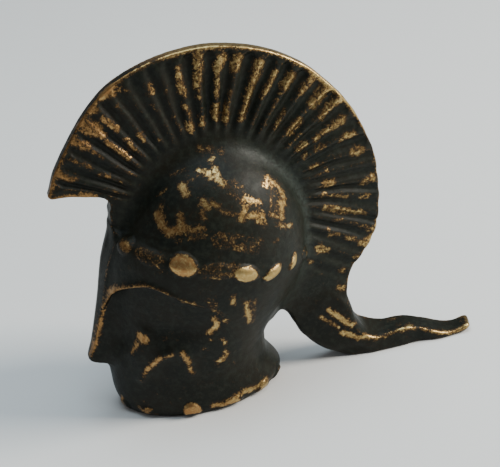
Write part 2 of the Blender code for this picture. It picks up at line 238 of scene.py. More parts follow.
def ripple(x, y, z, wave, seed):
    """Smooth unevenness from -1 to 1: the mean of five sine waves in scattered directions."""
    turns = np.random.default_rng(seed)
    total = 0.0
    for _ in range(5):
        way = turns.normal(size=3)
        way /= np.linalg.norm(way) * wave / math.tau * turns.uniform(0.7, 1.4)
        total = total + np.sin(x * way[0] + y * way[1] + z * way[2] + turns.uniform(0, math.tau))
    return total / 5.0


def ring_place(x, z):
    """Place turned by the ring's tilt: along its plane toward the back, and out of it."""
    along = (x - RING_X) * math.cos(RING_TILT) - (z - RING_Z) * math.sin(RING_TILT)
    rise = (x - RING_X) * math.sin(RING_TILT) + (z - RING_Z) * math.cos(RING_TILT)
    return along, rise


def round_field(x, y, z, long, wide, high):
    """Distance to an ellipsoid at the origin: k (k - 1) over the length of its slope, where k
    is the length of the point in radii."""
    near = np.sqrt((x / long) ** 2 + (y / wide) ** 2 + (z / high) ** 2) + 1e-9
    slope = np.sqrt((x / long**2) ** 2 + (y / wide**2) ** 2 + (z / high**2) ** 2) + 1e-9
    return near * (near - 1.0) / slope


def dome_field(x, y, z, inset):
    """Skull: an ellipsoid that stands on the ring's plane, a little behind its middle."""
    along, rise = ring_place(x, z)
    return round_field(along - DOME_BACK, y, rise,
                       DOME_LONG - inset, DOME_WIDE - inset, DOME_HIGH - inset)


level_share = np.linspace(0.0, 1.07, 108)
level_reach = [np.interp(level_share, BOWL[0], row) for row in BOWL[1:]]
for _ in range(3):
    for row in level_reach:
        row[1:-1] = (row[:-2] + 2.0 * row[1:-1] + row[2:]) / 4.0


def bowl_place(x, z):
    """Level of the bowl that passes through a point, and the place along it: the level is
    settled by five rounds, because each level has its own tilt and middle."""
    share = z / RING_Z
    for _ in range(5):
        middle = BASE_X + share * (RING_X - BASE_X)
        slant = np.tan(RING_TILT * np.clip(share, 0.0, 1.0))
        share = (z + (x - middle) * slant) / RING_Z
    return share, (x - BASE_X - share * (RING_X - BASE_X)) * np.sqrt(1.0 + slant * slant)


def bowl_field(x, y, z, inset):
    """Bowl under the ring: at each level a half ellipse to the front and another to the back,
    capped just over the ring."""
    share, along = bowl_place(x, z)
    front, back, half = (np.interp(share, level_share, row) - inset for row in level_reach)
    reach = np.where(along < 0.0, front, back)
    near = np.sqrt((along / reach) ** 2 + (y / half) ** 2) + 1e-9
    slope = np.sqrt((along / reach**2) ** 2 + (y / half**2) ** 2) + 1e-9
    return cut(near * (near - 1.0) / slope, -(share - 1.06) * RING_Z + inset * 0.3, 0.8)


def face_relief(x, z):
    """Height of the skin over the bowl on the cheeks: the eye opening is sunk behind its brow
    rim and comes up again softly toward the ear and jaw; a ridge and an arch stand below it.
    Each raised line falls off as e to the minus square of the distance over its width."""
    deep = -read_map(face_map, x, z)
    brow_off = read_map(brow_map, x, z)
    toward_jaw = ease((z - 8.5 - 3.0 * ease((x + 24.0) / 4.0)) / 4.5)
    toward_ear = ease((-9.5 - x) / 6.0)
    sunk = EYE_DEEP * ease(deep / 0.7 + 0.1) * toward_jaw * toward_ear
    brow = BROW_HIGH * np.exp(-((brow_off / BROW_WIDE) ** 2)) * ease((-12.0 - x) / 3.0)
    arch = ARCH_HIGH * np.exp(-((read_map(arch_map, x, z) / ARCH_WIDE) ** 2))
    arch = arch * (1.0 - 0.7 * np.exp(-(((x + 16.8) / 0.7) ** 2)))
    cheek = CHEEK_HIGH * np.exp(-((read_map(cheek_map, x, z) / CHEEK_WIDE) ** 2))
    return brow + arch + cheek - sunk


def rib_place(x, z):
    """Reach and angle from the crest's middle, and the place among the ribs: whole numbers
    are the tops of ribs, counted from the front."""
    reach = np.hypot(x - CREST_X, z - CREST_Z)
    angle = np.degrees(np.arctan2(z - CREST_Z, x - CREST_X))
    angle = np.where(angle < -120.0, angle + 360.0, angle)
    outer = RIBS[::-1, 0]
    lean = np.interp(angle, outer, RIBS[::-1, 1] - outer)
    at_rim = angle - lean * (RIM_REACH - reach) / RIB_RUN
    return reach, angle, len(RIBS) - 1 - np.interp(at_rim, outer, np.arange(len(RIBS)))


def plate_field(edge, side, rounding):
    """Distance to an outline carried to a thickness, with rounded arrises."""
    out, over = edge + rounding, side + rounding
    away = np.hypot(np.maximum(out, 0.0), np.maximum(over, 0.0))
    return np.minimum(np.maximum(out, over), 0.0) + away - rounding


def crest_half(x, z):
    """Half the thickness of the crest, and the distance to its rim: it grows inward, less a
    valley between each two ribs, a raised cosine of the place among them, that ends short of
    the skull and in a point below the rim."""
    edge = read_map(crest_map, x, z)
    reach, angle, number = rib_place(x, z)
    valley = np.floor(number)
    wobble = 0.025 * np.sin(reach * 0.9 + number * 1.9)
    crown = (0.5 + 0.5 * np.cos(math.tau * (number + wobble))) ** 1.1
    depth = np.interp(angle, RIB_DEPTH[0], RIB_DEPTH[1])
    depth = depth * (1.0 + 0.22 * np.sin(valley * 2.4 + 0.35 * reach))
    band = np.interp(angle, (0.0, 35.0, 60.0, 120.0, 160.0), (-0.4, 0.0, 0.3, 0.3, 0.4))
    outer = ease((-edge - band - 0.9 * crown) / 0.8)
    inner = ease((reach - 12.3 - 0.8 * np.sin(valley * 3.7)) / 3.6)
    proud = RIB_PROUD * crown * ease((reach - 12.0) / 3.0) * ease((-edge - band) / 1.2)
    flank = CREST_HALF + CREST_GAIN * np.clip(24.4 - reach, 0.0, 13.0)
    flank = flank + 0.25 * ease((-18.0 - angle) / 12.0)
    nick = 0.04 * (1.0 - crown) * ease((48.0 - angle) / 15.0) * ease((angle + 32.0) / 10.0)
    return flank + proud - depth * (1.0 - crown) * inner * outer, edge + nick


def crest_field(x, y, z):
    """Crest: the fan's outline at its own thickness, with rounder arrises down at the neck."""
    half, edge = crest_half(x, z)
    rounding = CREST_ROUND + 0.75 * ease((22.0 - z) / 9.0) * ease((4.0 - x) / 3.0)
    return plate_field(edge, (np.abs(y) - half) * 0.9, rounding)


# Tail: x, half width at the top and at the foot, in mm
TAIL_WIDTH = np.array((
    (4.0, 0.7, 0.5), (8.0, 1.45, 1.2), (11.0, 2.05, 1.8), (14.0, 2.4, 2.3), (17.0, 2.2, 2.3),
    (20.0, 2.05, 1.95), (24.0, 1.9, 1.6), (27.0, 1.9, 1.5), (28.7, 1.7, 1.4), (30.0, 1.2, 1.0),
)).T


def tail_place(x, y, z):
    """Place in the tail's own section: along it, for its waves run a little aslant, across it,
    height with its tilt taken off, distance to its top line, and half its width there."""
    along = x - 0.2 * y * ease((x - 14.0) / 4.0)
    across = y + TAIL_SWING * ease((x - 18.0) / 8.0)
    up = z - TAIL_TILT * np.exp(-(((x - 13.6) / 3.0) ** 2)) * across
    under = read_map(top_map, along, up)
    top, foot = (np.interp(x, TAIL_WIDTH[0], row) for row in TAIL_WIDTH[1:])
    return along, across, up, under, top + (foot - top) * ease((under - 0.2) / 2.6)


def tail_field(x, y, z):
    """Tail: broad and nearly flat on top, drawn in below, with two locks of hair that run
    down from the crest. Its end swings a little to one side."""
    along, across, up, _, half = tail_place(x, y, z)
    lock = np.exp(-((read_map(lock_map, x, up) / LOCK_WIDE) ** 2))
    half = half + LOCK_HIGH * lock * ease((15.0 - x) / 3.0)
    half = half + WAVE_HIGH * np.sin(x * 1.1) * ease((x - 16.0) / 3.0)
    return plate_field(read_map(tail_map, along, up), (np.abs(across) - half) * 0.88, TAIL_ROUND)


def nasal_field(x, y, z):
    """Nasal guard: a bar with a crowned front that widens from its tip to the brow, and whose
    flanks spread out as they run back into the face."""
    edge = read_map(nasal_map, x, z)
    climb = np.clip((z - NASAL_LOW) / NASAL_LONG, 0.0, 1.0)
    inward = np.maximum(-edge, 0.0)
    half = NASAL_HALF + NASAL_GAIN * climb + 0.22 * inward
    half = np.minimum(half, 0.55 + 2.6 * inward)
    return plate_field(edge, (np.abs(y) - half) * 0.8, 0.22)


# Studs of the ring: angle from the front in degrees, half length, half height, how far they
# stand out and their level over the ring's plane, in mm, tilt in degrees, and how much of them
# is rubbed bare on the near side and on the far side
RING_STUDS = (
    (24.0, 1.35, 1.3, 0.40, 0.40, 0, -1.0, 0.7), (45.5, 1.9, 1.1, 0.14, 0.30, 0, -1.0, 0.8),
    (66.5, 2.1, 1.6, 0.50, 0.55, -12, 0.94, 0.35), (86.5, 2.4, 1.15, 0.22, 0.40, 0, -1.0, 0.75),
    (102.0, 2.05, 1.3, 0.50, 0.13, -6, 0.88, 0.9), (119.5, 1.75, 0.85, 0.45, -0.10, 34, 0.95, 0.3),
    (137.5, 1.5, 0.65, 0.38, 0.65, 48, 0.9, 0.7), (157.0, 1.4, 0.9, 0.4, 0.40, 0, 0.5, 0.6),
)
# Half-moon bosses over the foot: angle, half length, height, how far they stand out, and how
# much of them is rubbed bare
BASE_STUDS = (
    (17.0, 1.2, 1.7, 0.3, 0.3, 0.6), (43.0, 1.5, 1.4, 0.3, 0.4, 0.9),
    (77.0, 1.45, 1.9, 0.55, 1.0, 0.5), (105.0, 2.2, 1.4, 0.35, 0.7, 0.8),
    (134.0, 1.5, 1.6, 0.35, 0.6, 0.4), (158.0, 1.3, 1.5, 0.3, 0.4, 0.6),
)


def stud_relief(x, y, z):
    """How far the studs round the foot of the dome and the bosses round the foot of the bowl
    stand out, and how deep in the rubbed part of one a point is. A stud is a pillow: one less
    the square of the point's distance in radii, to the power 0.7. A boss is a flat-topped oval
    with eased edges, cut level at the foot."""
    along, rise = ring_place(x, z)
    across, far = np.abs(y), y > 0.0
    relief, bare = np.zeros(np.shape(x)), np.full(np.shape(x), -2.0)
    turn = np.degrees(np.arctan2(across / RING_WIDE, -along / RING_LONG))
    for degrees, long, high, lift, level, tilt, near_share, far_share in RING_STUDS:
        at, lean = math.radians(degrees), math.radians(tilt)
        pace = math.radians(math.hypot(RING_LONG * math.sin(at), RING_WIDE * math.cos(at)))
        over, up = (turn - degrees) * pace, rise - level
        oval = np.hypot((over * math.cos(lean) + up * math.sin(lean)) / long,
                        (up * math.cos(lean) - over * math.sin(lean)) / high)
        relief = np.maximum(relief, lift * np.maximum(1.0 - (oval / 1.08) ** 2, 0.0) ** 0.7)
        share = np.where(far, far_share, near_share)
        bare = np.maximum(bare, (np.minimum(share, 0.97) - oval) * high + 0.25 * (share - 0.9))
    turn = np.degrees(np.arctan2(across / BASE_WIDE, (BASE_X + 0.3 - x) / BASE_LONG))
    for degrees, long, high, lift, near_share, far_share in BASE_STUDS:
        at = math.radians(degrees)
        pace = math.radians(math.hypot(BASE_LONG * math.sin(at), BASE_WIDE * math.cos(at)))
        oval = np.hypot((turn - degrees) * pace / long, (z - 0.8) / high)
        level_cut = ease((z - 0.35) / 0.4)
        relief = np.maximum(relief, lift * ease((1.12 - oval) / 0.5) * level_cut)
        share = np.where(far, far_share, near_share)
        bare = np.maximum(bare, np.minimum((share - oval) * high, (z - 0.75) * 1.5))
    return relief, bare


def casting_field(x, y, z):
    """Distance in mm to the skin of the whole casting, negative in the metal: the forms joined
    with fillets, the hollow cut out and the foot cut flat."""
    bowl = bowl_field(x, y, z, 0.0) - face_relief(x, z) * (x < RING_X + 4.0)
    body = join(bowl, dome_field(x, y, z, 0.0), DOME_FILLET) - stud_relief(x, y, z)[0]
    body = join(body, nasal_field(x, y, z), NASAL_FILLET)
    fillet = CREST_FILLET + NECK_MORE * ease((23.0 - z) / 8.0) * ease((x + 6.0) / 5.0)
    fillet = fillet + TOP_MORE * np.exp(-(((x + 6.0) / 6.5) ** 2)) * ease((z - 32.0) / 5.0)
    body = join(body, crest_field(x, y, z), fillet)
    body = join(body, tail_field(x, y, z), TAIL_FILLET)
    for high, wave, seed in UNEVEN:
        body = body + high * ripple(x, y, z, wave, seed)
    room = join(bowl_field(x, y, z, WALL), dome_field(x, y, z, WALL), ROOM_FILLET)
    return cut(cut(body, room, MOUTH_ARRIS), z, FOOT_ARRIS)


# Rubbed patches of the near side: a line from X, Y, Z to X, Y, Z and the half width round it
PATCHES = np.array((
    (-16.1, -5.9, 32.6, -15.7, -7.2, 31.3, 0.80), (-15.7, -7.2, 31.3, -15.3, -7.8, 30.5, 0.64),
    (-15.3, -7.7, 30.8, -13.2, -8.7, 31.1, 0.71), (-13.3, -7.7, 32.8, -13.2, -8.6, 31.4, 0.64),
    (-12.4, -9.0, 31.0, -10.6, -9.5, 31.1, 0.48), (-15.4, -5.5, 33.8, -15.6, -6.0, 33.1, 0.26),
    (-12.1, -5.4, 36.1, -11.9, -6.4, 35.3, 0.71), (-11.2, -5.4, 36.4, -9.5, -5.1, 37.1, 0.19),
    (-8.5, -5.0, 37.3, -7.9, -5.9, 36.7, 0.58), (-7.1, -4.9, 37.5, -7.1, -6.3, 36.4, 0.62),
    (-9.3, -4.6, 37.4, -8.0, -5.1, 37.1, 0.50), (-8.9, -5.2, 37.0, -7.8, -5.7, 36.8, 0.40),
    (-4.0, -8.1, 33.4, -2.0, -7.9, 32.5, 0.50), (-10.3, -8.0, 33.8, -7.8, -8.6, 33.5, 0.30),
    (-0.7, -6.0, 34.1, 0.5, -5.4, 33.5, 0.50), (1.5, -5.2, 32.6, 1.8, -6.0, 30.9, 0.45),
    (-7.1, -6.3, 36.4, -6.4, -7.0, 35.7, 0.51), (-7.6, -3.8, 38.1, -6.8, -3.5, 38.3, 0.29),
    (-9.8, -7.8, 34.3, -9.5, -8.5, 33.5, 0.58), (-8.7, -8.3, 34.0, -8.2, -8.5, 33.6, 0.45),
    (-10.2, -8.6, 33.1, -10.1, -9.1, 32.3, 0.38), (-7.5, -9.1, 32.7, -5.8, -9.3, 32.1, 0.26),
    (-4.2, -8.0, 33.8, -4.2, -8.8, 32.5, 0.38), (-3.5, -8.1, 33.3, -1.9, -7.9, 32.6, 0.32),
    (-4.4, -9.0, 32.3, -5.1, -9.5, 31.3, 0.58), (-4.0, -9.3, 31.3, -2.0, -8.8, 30.9, 0.58),
    (-2.9, -9.3, 30.4, -1.9, -9.2, 29.7, 0.45), (0.3, -4.9, 34.5, -0.4, -6.2, 33.8, 0.51),
    (0.4, -5.3, 33.9, 1.9, -5.3, 32.2, 0.45), (2.0, -5.4, 31.9, 1.9, -6.3, 30.6, 0.51),
    (1.4, -6.6, 30.9, 1.0, -7.6, 29.3, 0.64), (-0.1, -7.0, 32.4, -0.5, -8.1, 30.6, 0.19),
    (0.3, -8.0, 29.7, -0.7, -8.3, 30.5, 0.38), (0.7, -8.2, 28.1, 2.4, -7.0, 27.3, 0.35),
    (-15.3, -4.2, 34.9, -14.3, -4.3, 35.6, 0.16), (-13.2, -3.2, 37.1, -11.3, -3.5, 37.6, 0.19),
    (-0.9, -9.4, 26.6, -0.4, -9.1, 26.6, 0.22), (-21.5, -4.3, 28.7, -20.8, -5.3, 28.2, 0.55),
    (-11.1, -11.1, 20.3, -10.8, -10.9, 18.8, 0.15), (-10.8, -10.9, 18.8, -9.5, -10.7, 17.3, 0.15),
    (-11.0, -10.7, 17.3, -10.8, -10.5, 16.1, 0.52),
    (-10.8, -10.4, 15.7, -12.0, -10.1, 14.6, 0.49), (-9.5, -10.6, 16.6, -9.4, -10.6, 16.5, 0.37),
    (-11.8, -9.9, 13.4, -11.8, -9.9, 13.4, 0.28), (-8.0, -11.2, 20.7, -8.1, -11.0, 19.4, 0.34),
    (-6.2, -10.9, 18.8, -6.0, -9.5, 15.0, 0.55), (-10.1, -9.9, 13.2, -9.7, -9.7, 12.2, 0.32),
    (-10.0, -9.4, 10.8, -9.7, -9.1, 10.1, 0.44), (-11.1, -9.0, 8.9, -10.1, -9.1, 9.6, 0.46),
    (-8.7, -8.4, 7.9, -8.7, -8.4, 7.9, 0.24), (-13.0, -9.6, 12.1, -13.0, -9.6, 12.1, 0.21),
    (-21.4, -6.1, 14.2, -20.9, -6.6, 14.0, 0.85), (-22.0, -5.8, 13.0, -22.7, -5.3, 11.6, 0.46),
    (-18.1, -7.6, 14.0, -18.0, -7.6, 14.0, 0.24), (-21.8, -6.8, 8.2, -20.6, -7.6, 10.0, 0.36),
    (-20.6, -7.6, 10.0, -19.0, -8.4, 11.3, 0.44), (-19.0, -8.4, 11.3, -17.5, -8.9, 11.6, 0.28),
    (-16.1, -9.4, 11.9, -15.4, -9.3, 10.2, 0.48), (-15.3, -9.2, 9.2, -15.1, -9.0, 8.2, 0.44),
    (-25.2, -2.6, 2.7, -25.0, -2.2, 0.9, 0.42), (-23.2, -5.0, 1.4, -21.8, -6.1, 1.5, 0.40),
    (-12.8, -8.5, 1.1, -9.2, -8.0, 1.5, 0.50), (-9.0, -8.0, 1.7, -7.0, -7.2, 2.1, 0.56),
    (-6.8, -7.1, 1.6, -4.1, -5.5, 2.0, 0.50), (-3.0, -4.5, 2.0, -3.3, -4.9, 1.6, 0.21),
    (7.6, -1.9, 9.0, 10.7, -1.9, 5.8, 0.58), (6.2, -1.8, 8.2, 9.0, -2.0, 5.6, 0.28),
    (9.4, -2.0, 4.7, 11.7, -2.3, 3.4, 0.60), (18.5, -1.2, 3.0, 20.5, -1.6, 3.1, 0.30),
    (29.0, -0.6, 0.9, 29.0, -1.5, 0.3, 0.30), (10.0, -1.2, 14.8, 10.7, -1.3, 15.2, 0.30),
    (9.6, -1.2, 12.4, 10.3, -1.2, 12.2, 0.43), (7.0, -1.4, 19.7, 7.7, -1.4, 19.5, 0.33),
    (5.3, -2.0, 18.6, 5.3, -1.7, 17.9, 0.26),
    (11.4, -2.2, 3.6, 14.2, -2.3, 2.8, 0.55), (29.3, -2.4, 1.2, 29.6, -0.4, 1.5, 0.45),
))
# Patches rubbed only in specks
SPECKS = np.array((
    (-8.6, -10.4, 29.1, -3.8, -10.4, 27.3, 1.10), (-5.3, -10.3, 18.3, -5.5, -9.4, 14.8, 0.60),
    (-11.2, -11.2, 20.5, -10.9, -11.1, 19.0, 0.50), (-8.4, -2.2, 39.6, -5.6, -2.8, 38.8, 0.50),
    (-5.4, -7.0, 35.2, -3.0, -8.6, 32.0, 1.00),
    (-19.4, -6.9, 28.0, -17.2, -9.1, 27.0, 0.74), (-11.2, -11.4, 25.2, -7.4, -11.2, 24.9, 0.98),
    (-14.4, -9.0, 30.2, -10.8, -9.8, 30.6, 0.80), (1.2, -5.4, 33.4, 0.2, -8.0, 29.4, 1.00),
))
# Rubbed patches along the ribs: angle and reach from the crest's middle at the start and at
# the end, in degrees and mm, and the half width
RIB_PATCHES = np.array((
    (153, 23.6, 152.5, 21.4, 0.5), (157.4, 20, 157, 18, 0.3), (146, 23.3, 145.5, 20, 0.2),
    (147, 18.3, 146.3, 17, 0.35), (139.5, 24.3, 139.2, 22, 0.75), (139, 21.8, 140, 19, 0.25),
    (133.5, 24.5, 132.3, 22.5, 1.2), (132, 22.5, 132, 21.2, 0.8), (133.3, 20, 133.5, 16.8, 0.42),
    (133.8, 16, 133.8, 16, 0.4), (128, 24.6, 127, 24.2, 0.6), (127.3, 22.5, 126.8, 20, 0.5),
    (127.5, 18, 128, 16.5, 0.45), (121, 25, 118, 24.5, 1.0), (120.5, 22.6, 120.5, 22.6, 0.25),
    (121.5, 17.3, 121.7, 16.2, 0.35), (115, 23.5, 115, 23.5, 0.15),
    (107, 22.5, 107.3, 21.3, 0.4), (110, 20, 109, 18.8, 0.2), (104.5, 16.8, 104.5, 16.8, 0.15),
    (96, 23.2, 97, 20.5, 0.55), (97, 20.3, 96.5, 19.3, 0.55), (97.5, 18, 96, 16, 0.35),
    (97.5, 15.2, 97.5, 14, 0.5), (88.7, 24.2, 88.9, 22.3, 0.7), (89.5, 22.2, 90.5, 20, 0.6),
    (90, 20, 90.3, 18.3, 0.3), (90.5, 15.5, 91, 14.3, 0.4), (80.5, 23.7, 82, 22.5, 0.8),
    (82.5, 21.7, 82.7, 18.5, 0.35), (83.2, 16.8, 83.2, 15.3, 0.6), (75, 23.6, 76, 22.2, 0.8),
    (76.5, 19, 77.2, 17, 0.25), (77.7, 16.5, 78.2, 14.8, 0.5), (67.5, 23.2, 68, 21, 0.8),
    (68.3, 20.8, 69, 16, 0.6), (69.3, 15.1, 69.3, 15.1, 0.5), (61, 22.7, 62, 19.5, 0.45),
    (62.5, 18.5, 62.5, 18.5, 0.3), (54.8, 23, 55.5, 21, 0.7), (55.7, 20.8, 56, 20, 0.3),
    (55.8, 19.2, 56, 18, 0.25), (56.3, 15, 56.3, 15, 0.2), (47.5, 24.2, 48.4, 21.6, 0.6),
    (50, 18, 49.8, 15, 0.25), (41.7, 24, 41.3, 21.2, 1.0), (41.5, 19.5, 41.5, 19.5, 0.2),
    (41.4, 17.9, 41.5, 16, 0.7), (34.7, 24, 35, 23.5, 0.6), (36, 22.9, 35, 20.5, 0.6),
    (35.9, 17, 35.9, 17, 0.25), (28, 22.5, 28.3, 21, 0.7), (29, 20, 29.3, 17.8, 0.5),
    (30.7, 16.3, 30.8, 15, 0.45), (21, 22.8, 21.8, 21.6, 0.5), (21.3, 20.8, 21.3, 20.8, 0.3),
    (23.8, 18.4, 24.2, 17, 0.4), (25.5, 15.4, 25.3, 15.1, 0.35), (13.5, 22.6, 14.3, 21.9, 0.9),
    (15.3, 19.4, 15.3, 19.4, 0.2), (16.7, 17, 16.7, 17, 0.2), (17, 16.2, 17, 15.2, 0.4),
    (8.7, 22.4, 8.7, 22.4, 0.2), (12, 17, 12, 17, 0.3), (1.5, 23.6, 0.2, 22.2, 0.6),
    (4.7, 17.6, 4.7, 16.4, 0.55), (-5.2, 22.6, -5.5, 21.8, 0.5), (-4.2, 19.5, -3, 17.5, 0.3),
    (-3, 17.7, -2.5, 17, 0.35), (-0.8, 16.3, -0.9, 15.6, 0.35), (-12.4, 22.5, -11.8, 20.5, 0.5),
    (-11.2, 19.6, -9, 16.3, 0.6), (-8, 16, -8, 16, 0.4), (-18.4, 24.1, -19.3, 23.6, 0.4),
    (-17.8, 23, -17.8, 22.3, 0.4), (-17, 21, -17, 21, 0.15), (-15.3, 19, -15.2, 17.8, 0.25),
    (-24, 23.8, -24.5, 23, 0.7), (-23.3, 21.8, -23.3, 20.6, 0.35),
    (-22, 19.2, -23.5, 17.8, 0.35), (-20.4, 17.1, -20.4, 17.1, 0.3),
    (-29.5, 23.5, -30.5, 22.9, 0.35), (-31, 18, -31, 16.8, 0.7), (-37.5, 22.4, -38, 21.9, 0.35),
    (-39.5, 16.7, -40, 16, 0.5), (-43.5, 24.2, -43.8, 23.2, 0.35),
))
# Rim of the crest: angle, width of the rubbed edge on its face, and how bare its top is, in mm
RIM_WEAR = np.array((
    (-60, 0.05, -0.3), (-43, 0.30, -0.1), (-36, 0.20, -0.1), (-28, 0.15, 0.0), (-24, 0.5, 0.2),
    (-17, 0.40, 0.3), (-12, 0.05, 0.1), (2, 0.12, 0.1), (12, 0.12, 0.2), (22, 0.3, 0.3),
    (32, 0.5, 0.5), (44, 0.7, 0.5), (55, 0.5, 0.5), (62, 0.35, 0.5), (90, 0.4, 0.5),
    (95, 0.6, 0.4), (103, 0.3, 0.2), (110, 0.25, -0.3), (115, 0.4, -0.5), (118, 0.9, -0.4),
    (121, 1.2, -0.3), (124, 0.4, -0.5), (127, 0.7, -0.5), (130, 0.3, -0.5), (132, 0.7, -0.5),
    (136, 0.3, -0.5), (142, 0.3, -0.4), (148, 0.35, -0.3), (153, 0.5, -0.1), (158, 0.5, 0.1),
    (163, 0.3, 0.2),
)).T
# Near arris of the tail and the brow line: X and the half width of the rubbed line
TAIL_WEAR = np.array((
    (12.8, -0.5), (14.0, 0.40), (16.5, 0.30), (18.5, 0.42), (20.4, 0.45), (21.2, 0.10),
    (22.0, 0.40), (24.0, 0.42), (27.5, 0.50), (29.2, 0.75), (30.0, 0.9),
)).T
BROW_WEAR = np.array((
    (-29.2, 0.40), (-28.0, 0.42), (-26.5, 0.32), (-25.0, 0.36), (-23.8, 0.50), (-22.8, 0.36),
    (-21.0, 0.26), (-18.0, 0.28), (-16.4, 0.20), (-15.8, -0.2), (-15.1, 0.34), (-13.3, 0.36),
    (-12.6, -0.4),
)).T


# Most that each kind of rubbed place counts, in mm: the less, the more the noise breaks it up
PATCH_MOST, SPECK_MOST, RIB_MOST, STUD_MOST = 0.45, -0.02, 0.24, 0.75


def patch_depth(points, facing, patches, most):
    """How deep inside the nearest of the patches each point lies, in mm. The way to a patch
    counts in full along the skin and by a third out of it."""
    depth = np.full(len(points), -2.0)
    for *ends, radius in patches:
        start, end = np.array(ends[:3]), np.array(ends[3:])
        span = end - start
        part = np.clip((points - start) @ span / max(span @ span, 1e-9), 0.0, 1.0)
        way = points - start - part[:, None] * span
        out = np.einsum("ij,ij->i", way, facing)
        along = np.sqrt(np.maximum(np.einsum("ij,ij->i", way, way) - out * out, 0.0))
        depth = np.maximum(depth, radius - np.hypot(along, 0.33 * out))
    return np.minimum(depth, most)


def rib_depth(x, y, z):
    """The same for the patches along the ribs, in the side view; the far side's patches are
    those of the near side moved on by five ribs."""
    reach, angle, number = rib_place(x, z)
    moved = np.interp((number + 5.0) % len(RIBS), np.arange(len(RIBS)), RIBS[:, 0])
    moved = moved + np.interp(moved, RIBS[::-1, 0], RIBS[::-1, 1] - RIBS[::-1, 0]) * (
        (RIM_REACH - reach) / RIB_RUN)
    turn = np.radians(np.where(y > 0.0, moved, angle))
    across, up = reach * np.cos(turn), reach * np.sin(turn)
    depth = np.full(len(x), -2.0)
    for first, near_end, second, far_end, radius in RIB_PATCHES:
        a, b = math.radians(first), math.radians(second)
        ax, az = near_end * math.cos(a), near_end * math.sin(a)
        sx, sz = far_end * math.cos(b) - ax, far_end * math.sin(b) - az
        part = np.clip(((across - ax) * sx + (up - az) * sz) / (sx * sx + sz * sz + 1e-9), 0, 1)
        way = np.hypot(across - ax - part * sx, up - az - part * sz)
        depth = np.maximum(depth, radius - way)
    depth = np.minimum(depth * 0.95, RIB_MOST)
    return np.where((number > 0.02) & (number < len(RIBS) - 1.02) | (y < 0.0), depth, -2.0)


def wear_of(points, facing, bend):
    """How deep in bare metal each corner of the mesh is, in mm, negative under the patina: the
    greatest of its depths in the patches, specks, studs, ribs, rim, tail and brow line, each
    held to a cap, and a little where the skin bends sharply outward."""
    x, y, z = points.T
    mirrored = PATCHES.copy()
    order = np.arange(len(mirrored))
    shift = np.stack((0.9 * np.sin(order * 2.1), -0.2 * np.ones(len(order)),
                      0.8 * np.sin(order * 3.3 + 1.0)), axis=1)
    mirrored[:, :3] = mirrored[:, :3] * (1, -1, 1) + shift
    mirrored[:, 3:6] = mirrored[:, 3:6] * (1, -1, 1) + shift
    mirrored[:, 6] *= 0.95 + 0.35 * np.sin(order * 1.7)
    dots = SPECKS.copy()
    dots[:, [1, 4]] *= -1.0
    depth = np.maximum(patch_depth(points, facing, PATCHES, PATCH_MOST),
                       patch_depth(points, facing, mirrored, PATCH_MOST))
    dots = np.vstack((SPECKS, dots))
    depth = np.maximum(depth, patch_depth(points, facing, dots, SPECK_MOST))
    depth = np.maximum(depth, np.minimum(stud_relief(x, y, z)[1] * 2.6, STUD_MOST))

    half, edge = crest_half(x, z)
    reach, angle, _ = rib_place(x, z)
    on_crest = (np.abs(y) < half + 0.3) & (np.abs(y) > half - 0.7) & (reach > 13.6)
    depth = np.where(on_crest, np.maximum(depth, rib_depth(x, y, z)), depth)
    slip = np.where(y > 0.0, angle + 9.0 * np.sin(angle * 0.11), angle)
    band, top = (np.interp(slip, RIM_WEAR[0], row) for row in RIM_WEAR[1:])
    near_rim = (edge > -2.5) & (z > 12.5) & ((z > 33.0) & (reach > 17.5) | (x > -4.0))
    rim = band + edge + 0.05
    on_top = (edge > -0.22) & (np.abs(y) < half - 0.32)
    rim = np.where(on_top, top, rim)
    depth = np.where(near_rim, np.maximum(depth, rim), depth)

    _, across, _, under, width = tail_place(x, y, z)
    arris = np.interp(x, TAIL_WEAR[0], TAIL_WEAR[1])
    arris = arris - np.hypot(under - 0.12, np.abs(across) - width)
    depth = np.where((x > 9.5) & (z < 5.5), np.maximum(depth, arris), depth)
    brow = np.interp(x, BROW_WEAR[0], BROW_WEAR[1]) - read_map(brow_map, x, z)
    on_brow = (x < -12.0) & (np.abs(y) > 0.5) & (facing[:, 0] * (x + 12.0) + facing[:, 1] * y > 0)
    depth = np.where(on_brow, np.maximum(depth, brow), depth)
    depth = np.maximum(depth, np.minimum(0.10 * bend - 0.38, 0.0))
    return np.where(hidden_part(x, y, z), -2.0, depth)


def sheen_dust_of(x, y, z):
    """How much pale grey-green goes on each corner: most in the crease where the dome meets the
    crest, e to the minus square of the distance over 1.1 mm, which is a painted highlight standing
    for the lit band in that crease, and a little on the back of the bowl as dust."""
    apart = np.maximum(np.abs(dome_field(x, y, z, 0.0)), np.abs(crest_field(x, y, z)))
    crease = np.exp(-((apart / 1.1) ** 2)) * ease((x + 9.0) / 8.0)
    return np.clip(crease + 0.25 * ease((x + 6.0) / 12.0) * (z > 12.0), 0.0, 1.0)


# Depth in the shape without its hollow past which skin is the hollow's own, in mm
HIDDEN = 1.4


def hidden_part(x, y, z):
    """True on the skin of the hollow: it lies deeper than a set depth in the shape without it."""
    deep = join(bowl_field(x, y, z, HIDDEN), dome_field(x, y, z, HIDDEN), ROOM_FILLET)
    return deep < 0.0


# Cell of the grid that the net is drawn over, in mm, how many make a coarse one, the most
# triangles that are kept, and the steps at which slopes are taken to settle and for normals
CELL, COARSER = 0.27, 4
TRIANGLES = 190000
SETTLE_STEP, NORMAL_STEP = 0.05, 0.12
grid_x = np.arange(-31.2, 31.2, CELL)
grid_y = np.arange(-12.9 + CELL * 0.37, 13.0, CELL)
grid_z = np.arange(-0.9, 54.6, CELL)


